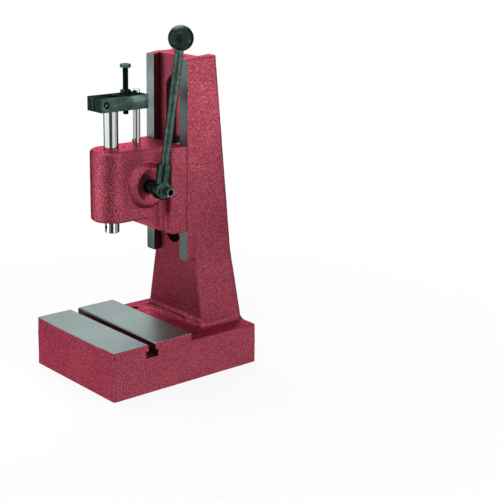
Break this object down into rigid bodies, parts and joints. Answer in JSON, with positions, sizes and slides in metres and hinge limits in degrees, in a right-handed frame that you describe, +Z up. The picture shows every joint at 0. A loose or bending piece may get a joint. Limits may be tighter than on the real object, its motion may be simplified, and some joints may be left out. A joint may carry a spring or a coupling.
{
  "type": "hand lever press",
  "caption": "Bench press with a cast base and column, a height-adjustable head, and a round rack ram driven down by a side lever with a ball knob.",
  "frame": {"origin": "centre of the base's underside", "axes": "+Z up, -Y towards the user at the front, +X towards the lever"},
  "size_m": [0.1924, 0.2524, 0.4934],
  "materials": {
    "red_paint": "crimson hammertone paint on cast iron, working faces ground bare",
    "bright_steel": "ground and hard chromed",
    "black_steel": "black oxide",
    "zinc_steel": "plain machined steel",
    "bronze": "plain bearing bronze",
    "ball_plastic": "smooth dark moulded plastic"
  },
  "bodies": {
    "frame": {"frame_casting": "red_paint"},
    "head": {"head_casting": "red_paint", "guide_rod": "bright_steel", "clamp_plate": "zinc_steel", "clamp_bolt_lower": "zinc_steel", "clamp_bolt_upper": "zinc_steel", "clamp_washer_lower": "zinc_steel", "clamp_washer_upper": "zinc_steel", "shaft_bush_right": "bronze", "shaft_bush_left": "bronze", "return_spring": "black_steel", "spring_anchor_pin": "zinc_steel", "spring_cover": "red_paint", "spring_cover_screws": "black_steel"},
    "ram": {"ram": "bright_steel", "tool_grub_screw": "black_steel", "bridge_block": "black_steel", "block_clamp_screw": "black_steel", "lock_nut": "black_steel"},
    "stop": {"stop_screw": "black_steel"},
    "lever": {"pinion_gear": "zinc_steel", "pinion_shaft": "zinc_steel", "pinion_key": "zinc_steel", "shaft_circlip": "black_steel", "lever_hub": "black_steel", "hub_key": "zinc_steel", "hub_washer": "black_steel", "hub_cap_screw": "black_steel", "lever_rod": "black_steel", "ball_knob": "ball_plastic"}
  },
  "joints": [
    {"name": "head_height", "type": "slide", "parent": "frame", "child": "head", "axis": [0, 0, 1], "range_m": [-0.04, 0.095]},
    {"name": "lever_turn", "type": "hinge", "parent": "head", "child": "lever", "pos_m": [0, -0.021, 0.2735], "axis": [1, 0, 0], "range_deg": [0, 64.9], "stiffness_Nm_per_rad": 0.5, "springref_deg": -57.3},
    {"name": "ram_stroke", "type": "slide", "parent": "head", "child": "ram", "axis": [0, 0, -1], "range_m": [0, 0.034]},
    {"name": "stop_screw_travel", "type": "slide", "parent": "ram", "child": "stop", "axis": [0, 0, 1], "range_m": [-0.012, 0.008]}
  ],
  "couplings": [
    {"joint": "ram_stroke", "follows": "lever_turn", "m_per_rad": 0.03}
  ]
}
